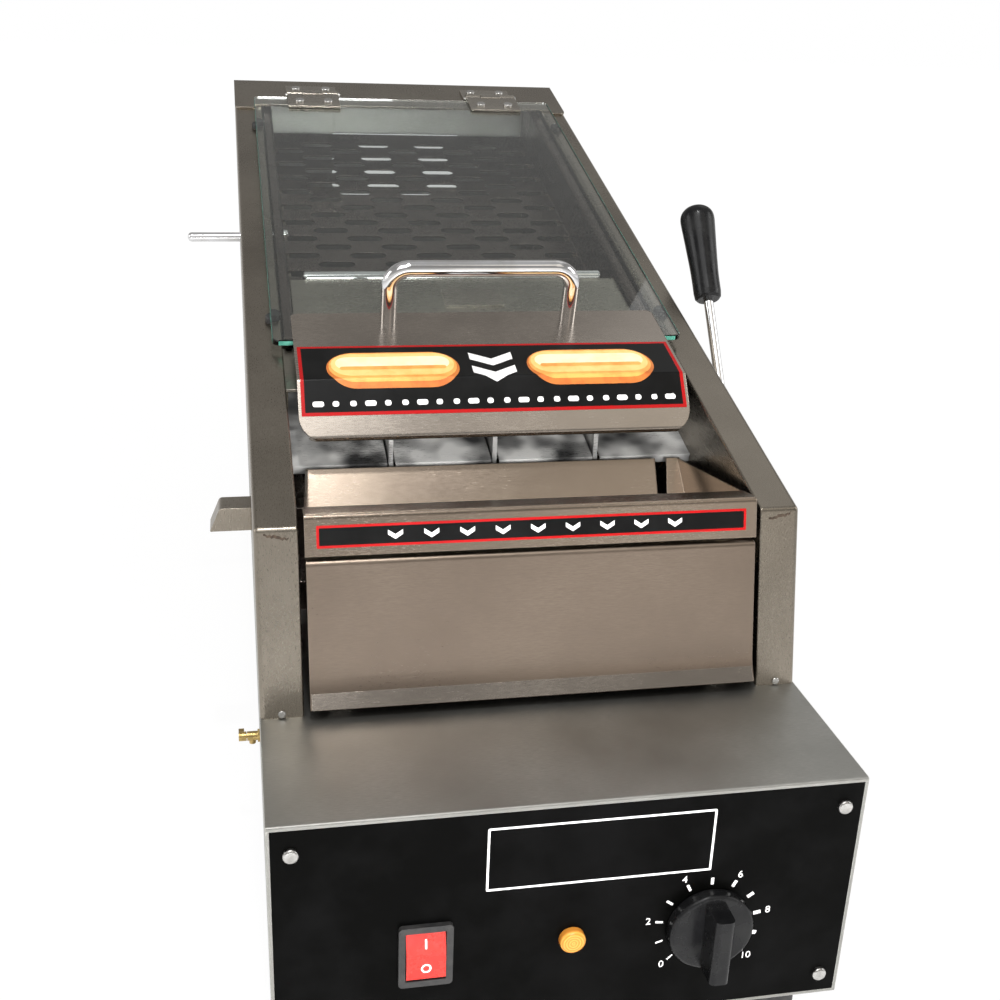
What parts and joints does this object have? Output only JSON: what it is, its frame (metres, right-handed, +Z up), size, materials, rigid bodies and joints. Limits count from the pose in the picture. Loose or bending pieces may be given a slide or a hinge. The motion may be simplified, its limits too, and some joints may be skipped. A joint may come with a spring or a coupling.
{
  "type": "hot dog steamer",
  "caption": "Countertop hot dog steamer and dispenser: sloping steel ramp under a hinged glass lid, pull lever with gate fingers, bun tray, drawer and controls.",
  "frame": {"origin": "centre of the footprint on the table, under the middle of the overall box", "axes": "+Z up, +X to the right seen from the front, -Y towards the customer; the ramp rises towards +Y"},
  "size_m": [0.336, 0.7097, 0.3884],
  "materials": {
    "stainless": "brushed",
    "black_panel": "satin black",
    "chrome": "polished",
    "brass": "satin",
    "rubber": "matt",
    "black_plastic": "glossy",
    "red_plastic": "glossy",
    "lamp_lens": "translucent amber",
    "white_plastic": "matt",
    "cover_glass": "clear with a green edge"
  },
  "bodies": {
    "cabinet": {"base_shell": "stainless", "shelf_plate": "stainless", "left_wall": "stainless", "right_wall": "stainless", "back_panel": "stainless", "rear_cover": "stainless", "ramp_ledges": "stainless", "ramp_apron": "stainless", "ramp_deck": "stainless", "inner_cover": "stainless", "inner_cover_ledges": "stainless", "bulkhead": "stainless", "tray_rests": "stainless", "vent_cowl": "stainless", "hinge_fixed_leaves": "stainless", "water_tank": "stainless", "control_panel": "black_panel", "inner_cover_rod": "chrome", "hinge_pins": "chrome", "hinge_screws": "chrome", "foot_screws": "chrome", "post_screws": "chrome", "panel_screws": "chrome", "heating_element": "chrome", "drain_pipe": "brass", "drain_body": "brass", "left_bush": "brass", "right_bush": "brass", "glass_bumpers": "rubber", "foot_front_left": "rubber", "foot_front_right": "rubber", "foot_rear_left": "rubber", "foot_rear_right": "rubber", "rocker_housing": "black_plastic", "thermostat_body": "black_plastic", "power_inlet": "black_plastic", "pilot_lamp": "lamp_lens", "drawer_glides": "white_plastic"},
    "gate": {"gate_shaft": "chrome", "gate_fingers": "stainless", "lever_hub": "chrome", "lever_rod": "chrome", "lever_knob": "black_plastic"},
    "tray": {"bun_tray": "stainless"},
    "drawer": {"drawer_front": "stainless", "drawer_box": "stainless"},
    "lid": {"glass_cover": "cover_glass", "hood": "stainless", "handle": "chrome", "handle_screws": "chrome", "hinge_lid_leaves": "stainless", "hinge_clamp_screws": "chrome"},
    "thermostat_dial": {"thermostat_spindle": "chrome", "thermostat_knob": "black_plastic"},
    "rocker": {"power_rocker": "red_plastic"},
    "drain_lever": {"drain_handle": "brass"},
    "pull_pin": {"lock_pin": "chrome"}
  },
  "joints": [
    {"name": "lever_swing", "type": "hinge", "parent": "cabinet", "child": "gate", "pos_m": [0, -0.0725, 0.207], "axis": [1, 0, 0], "range_deg": [0, 45], "stiffness_Nm_per_rad": 0.25, "springref_deg": -17.19},
    {"name": "tray_slide", "type": "slide", "parent": "cabinet", "child": "tray", "axis": [0, -0.6428, 0.766], "range_m": [0, 0.1]},
    {"name": "drawer_slide", "type": "slide", "parent": "cabinet", "child": "drawer", "axis": [0, -1, 0], "range_m": [0, 0.1]},
    {"name": "lid_hinge", "type": "hinge", "parent": "cabinet", "child": "lid", "pos_m": [0, 0.3071, 0.38078], "axis": [-1, 0, 0], "range_deg": [0, 75]},
    {"name": "thermostat_turn", "type": "hinge", "parent": "cabinet", "child": "thermostat_dial", "pos_m": [0.064, -0.3335, 0.073], "axis": [0, 1, 0], "range_deg": [0, 270]},
    {"name": "power_switch", "type": "hinge", "parent": "cabinet", "child": "rocker", "pos_m": [-0.066, -0.3305, 0.073], "axis": [1, 0, 0], "range_deg": [0, 16]},
    {"name": "drain_turn", "type": "hinge", "parent": "cabinet", "child": "drain_lever", "pos_m": [-0.147, -0.1285, 0.0625], "axis": [1, 0, 0], "range_deg": [0, 90]},
    {"name": "pin_pull", "type": "slide", "parent": "cabinet", "child": "pull_pin", "axis": [-1, 0, 0], "range_m": [0, 0.014]}
  ]
}
